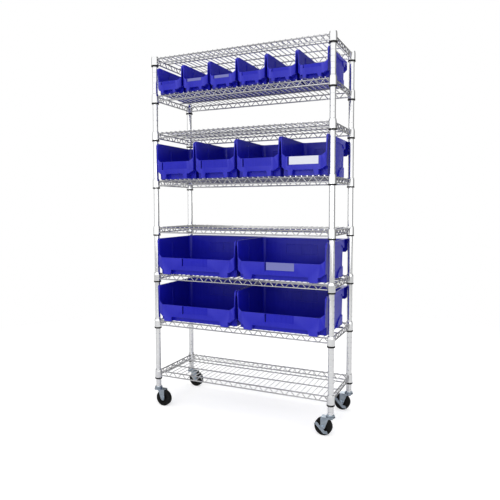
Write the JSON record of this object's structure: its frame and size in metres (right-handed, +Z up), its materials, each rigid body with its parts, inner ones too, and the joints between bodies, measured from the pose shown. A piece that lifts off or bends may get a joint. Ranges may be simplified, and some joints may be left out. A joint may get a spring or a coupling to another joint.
{
  "type": "wire shelf cart",
  "caption": "Tall chromed wire shelving cart on swivel casters, with pull-out hopper-front storage bins standing on its shelves.",
  "frame": {"origin": "on the floor, midway between the four posts", "axes": "+Z up, +X to the right, -Y towards the front, where the bins open"},
  "size_m": [0.919, 0.375, 1.7035],
  "materials": {
    "chrome": "bright chrome plate",
    "zinc": "bright zinc plate",
    "black_plastic": "moulded, matt",
    "hub_plastic": "moulded, satin",
    "tyre": "moulded rubber",
    "blue_plastic": "moulded, semi-gloss",
    "label_card": "blank card",
    "label_sleeve": "blank card behind clear film"
  },
  "bodies": {
    "frame": {"caster_stems": "zinc", "post_back_left": "chrome", "post_back_right": "chrome", "post_caps": "black_plastic", "post_front_left": "chrome", "post_front_right": "chrome", "shelf_1": "chrome", "shelf_2": "chrome", "shelf_3": "chrome", "shelf_4": "chrome", "shelf_5": "chrome", "shelf_6": "chrome", "shelf_7": "chrome", "shelf_8": "chrome", "sleeves_back_left": "black_plastic", "sleeves_back_right": "black_plastic", "sleeves_front_left": "black_plastic", "sleeves_front_right": "black_plastic", "swivel_races": "zinc"},
    "swivel_front_left": {"fork_front_left": "zinc", "axle_bolt_front_left": "zinc", "axle_nut_front_left": "zinc"},
    "wheel_front_left": {"wheel_hub_front_left": "hub_plastic", "tyre_front_left": "tyre"},
    "swivel_front_right": {"fork_front_right": "zinc", "axle_bolt_front_right": "zinc", "axle_nut_front_right": "zinc"},
    "wheel_front_right": {"wheel_hub_front_right": "hub_plastic", "tyre_front_right": "tyre"},
    "brake_front_right": {"brake_lever_front_right": "zinc"},
    "swivel_back_left": {"fork_back_left": "zinc", "axle_bolt_back_left": "zinc", "axle_nut_back_left": "zinc"},
    "wheel_back_left": {"wheel_hub_back_left": "hub_plastic", "tyre_back_left": "tyre"},
    "swivel_back_right": {"fork_back_right": "zinc", "axle_bolt_back_right": "zinc", "axle_nut_back_right": "zinc"},
    "wheel_back_right": {"wheel_hub_back_right": "hub_plastic", "tyre_back_right": "tyre"},
    "brake_back_right": {"brake_lever_back_right": "zinc"},
    "bin_large_6_1": {"bin_large_6_1": "blue_plastic"},
    "bin_large_6_2": {"bin_large_6_2": "blue_plastic", "label_large_6_2": "label_sleeve"},
    "bin_large_7_1": {"bin_large_7_1": "blue_plastic"},
    "bin_large_7_2": {"bin_large_7_2": "blue_plastic"},
    "bin_medium_4_1": {"bin_medium_4_1": "blue_plastic"},
    "bin_medium_4_2": {"bin_medium_4_2": "blue_plastic"},
    "bin_medium_4_3": {"bin_medium_4_3": "blue_plastic"},
    "bin_medium_4_4": {"bin_medium_4_4": "blue_plastic", "label_medium_4_4": "label_card"},
    "bin_small_2_1": {"bin_small_2_1": "blue_plastic"},
    "bin_small_2_2": {"bin_small_2_2": "blue_plastic", "label_small_2_2": "label_sleeve"},
    "bin_small_2_3": {"bin_small_2_3": "blue_plastic", "label_small_2_3": "label_sleeve"},
    "bin_small_2_4": {"bin_small_2_4": "blue_plastic"},
    "bin_small_2_5": {"bin_small_2_5": "blue_plastic"},
    "bin_small_2_6": {"bin_small_2_6": "blue_plastic"}
  },
  "joints": [
    {"name": "swivel_front_left", "type": "hinge", "parent": "frame", "child": "swivel_front_left", "pos_m": [-0.439, -0.1595, 0.0865], "axis": [0, 0, 1], "continuous": true},
    {"name": "roll_front_left", "type": "hinge", "parent": "swivel_front_left", "child": "wheel_front_left", "pos_m": [-0.408, -0.1595, 0.0385], "axis": [0, 1, 0], "continuous": true},
    {"name": "swivel_front_right", "type": "hinge", "parent": "frame", "child": "swivel_front_right", "pos_m": [0.439, -0.1595, 0.0865], "axis": [0, 0, 1], "continuous": true},
    {"name": "roll_front_right", "type": "hinge", "parent": "swivel_front_right", "child": "wheel_front_right", "pos_m": [0.408, -0.1595, 0.0385], "axis": [0, 1, 0], "continuous": true},
    {"name": "brake_front_right", "type": "hinge", "parent": "swivel_front_right", "child": "brake_front_right", "pos_m": [0.408, -0.1595, 0.0385], "axis": [0, -1, 0], "range_deg": [0, 22]},
    {"name": "swivel_back_left", "type": "hinge", "parent": "frame", "child": "swivel_back_left", "pos_m": [-0.439, 0.1595, 0.0865], "axis": [0, 0, 1], "continuous": true},
    {"name": "roll_back_left", "type": "hinge", "parent": "swivel_back_left", "child": "wheel_back_left", "pos_m": [-0.408, 0.1595, 0.0385], "axis": [0, 1, 0], "continuous": true},
    {"name": "swivel_back_right", "type": "hinge", "parent": "frame", "child": "swivel_back_right", "pos_m": [0.439, 0.1595, 0.0865], "axis": [0, 0, 1], "continuous": true},
    {"name": "roll_back_right", "type": "hinge", "parent": "swivel_back_right", "child": "wheel_back_right", "pos_m": [0.408, 0.1595, 0.0385], "axis": [0, 1, 0], "continuous": true},
    {"name": "brake_back_right", "type": "hinge", "parent": "swivel_back_right", "child": "brake_back_right", "pos_m": [0.408, 0.1595, 0.0385], "axis": [0, -1, 0], "range_deg": [0, 22]},
    {"name": "pull_bin_large_6_1", "type": "slide", "parent": "frame", "child": "bin_large_6_1", "axis": [0, -1, 0], "range_m": [0, 0.35]},
    {"name": "pull_bin_large_6_2", "type": "slide", "parent": "frame", "child": "bin_large_6_2", "axis": [0, -1, 0], "range_m": [0, 0.35]},
    {"name": "pull_bin_large_7_1", "type": "slide", "parent": "frame", "child": "bin_large_7_1", "axis": [0, -1, 0], "range_m": [0, 0.35]},
    {"name": "pull_bin_large_7_2", "type": "slide", "parent": "frame", "child": "bin_large_7_2", "axis": [0, -1, 0], "range_m": [0, 0.35]},
    {"name": "pull_bin_medium_4_1", "type": "slide", "parent": "frame", "child": "bin_medium_4_1", "axis": [0, -1, 0], "range_m": [0, 0.35]},
    {"name": "pull_bin_medium_4_2", "type": "slide", "parent": "frame", "child": "bin_medium_4_2", "axis": [0, -1, 0], "range_m": [0, 0.35]},
    {"name": "pull_bin_medium_4_3", "type": "slide", "parent": "frame", "child": "bin_medium_4_3", "axis": [0, -1, 0], "range_m": [0, 0.35]},
    {"name": "pull_bin_medium_4_4", "type": "slide", "parent": "frame", "child": "bin_medium_4_4", "axis": [0, -1, 0], "range_m": [0, 0.35]},
    {"name": "pull_bin_small_2_1", "type": "slide", "parent": "frame", "child": "bin_small_2_1", "axis": [0, -1, 0], "range_m": [0, 0.3]},
    {"name": "pull_bin_small_2_2", "type": "slide", "parent": "frame", "child": "bin_small_2_2", "axis": [0, -1, 0], "range_m": [0, 0.3]},
    {"name": "pull_bin_small_2_3", "type": "slide", "parent": "frame", "child": "bin_small_2_3", "axis": [0, -1, 0], "range_m": [0, 0.3]},
    {"name": "pull_bin_small_2_4", "type": "slide", "parent": "frame", "child": "bin_small_2_4", "axis": [0, -1, 0], "range_m": [0, 0.3]},
    {"name": "pull_bin_small_2_5", "type": "slide", "parent": "frame", "child": "bin_small_2_5", "axis": [0, -1, 0], "range_m": [0, 0.3]},
    {"name": "pull_bin_small_2_6", "type": "slide", "parent": "frame", "child": "bin_small_2_6", "axis": [0, -1, 0], "range_m": [0, 0.3]}
  ]
}
